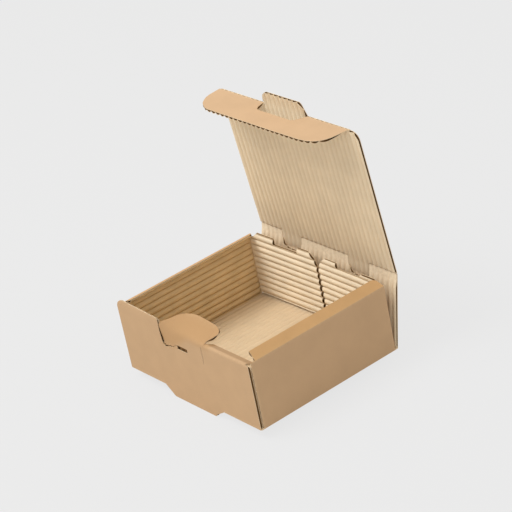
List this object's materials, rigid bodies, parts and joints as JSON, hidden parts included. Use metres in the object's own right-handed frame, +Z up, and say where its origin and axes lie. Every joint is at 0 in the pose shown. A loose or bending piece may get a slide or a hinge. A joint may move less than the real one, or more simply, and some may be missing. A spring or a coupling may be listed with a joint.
{
  "type": "hinged-lid corrugated tray box",
  "caption": "Shallow tray box of single-face corrugated board with vented hinged lid, tuck flap, locking tongue and folded corner flaps, lid open.",
  "frame": {"origin": "under the middle of the box's width and depth, level with the lowest point, the foot of the front tab", "axes": "+X along the front wall to the right, +Y from the front wall back to the lid hinge, +Z up"},
  "size_m": [0.19, 0.1772, 0.2379],
  "materials": {
    "board": "matte kraft liner outside, open flutes inside"
  },
  "bodies": {
    "tray": {"tray": "board"},
    "lid": {"lid": "board"},
    "tuck_flap": {"tuck_flap": "board"}
  },
  "joints": [
    {"name": "lid_hinge", "type": "hinge", "parent": "tray", "child": "lid", "pos_m": [0, 0.08596, 0.07895], "axis": [1, 0, 0], "range_deg": [-56, 70]},
    {"name": "tuck_hinge", "type": "hinge", "parent": "lid", "child": "tuck_flap", "pos_m": [0, 0.07062, 0.22485], "axis": [-1, 0, 0], "range_deg": [-15, 84]}
  ]
}
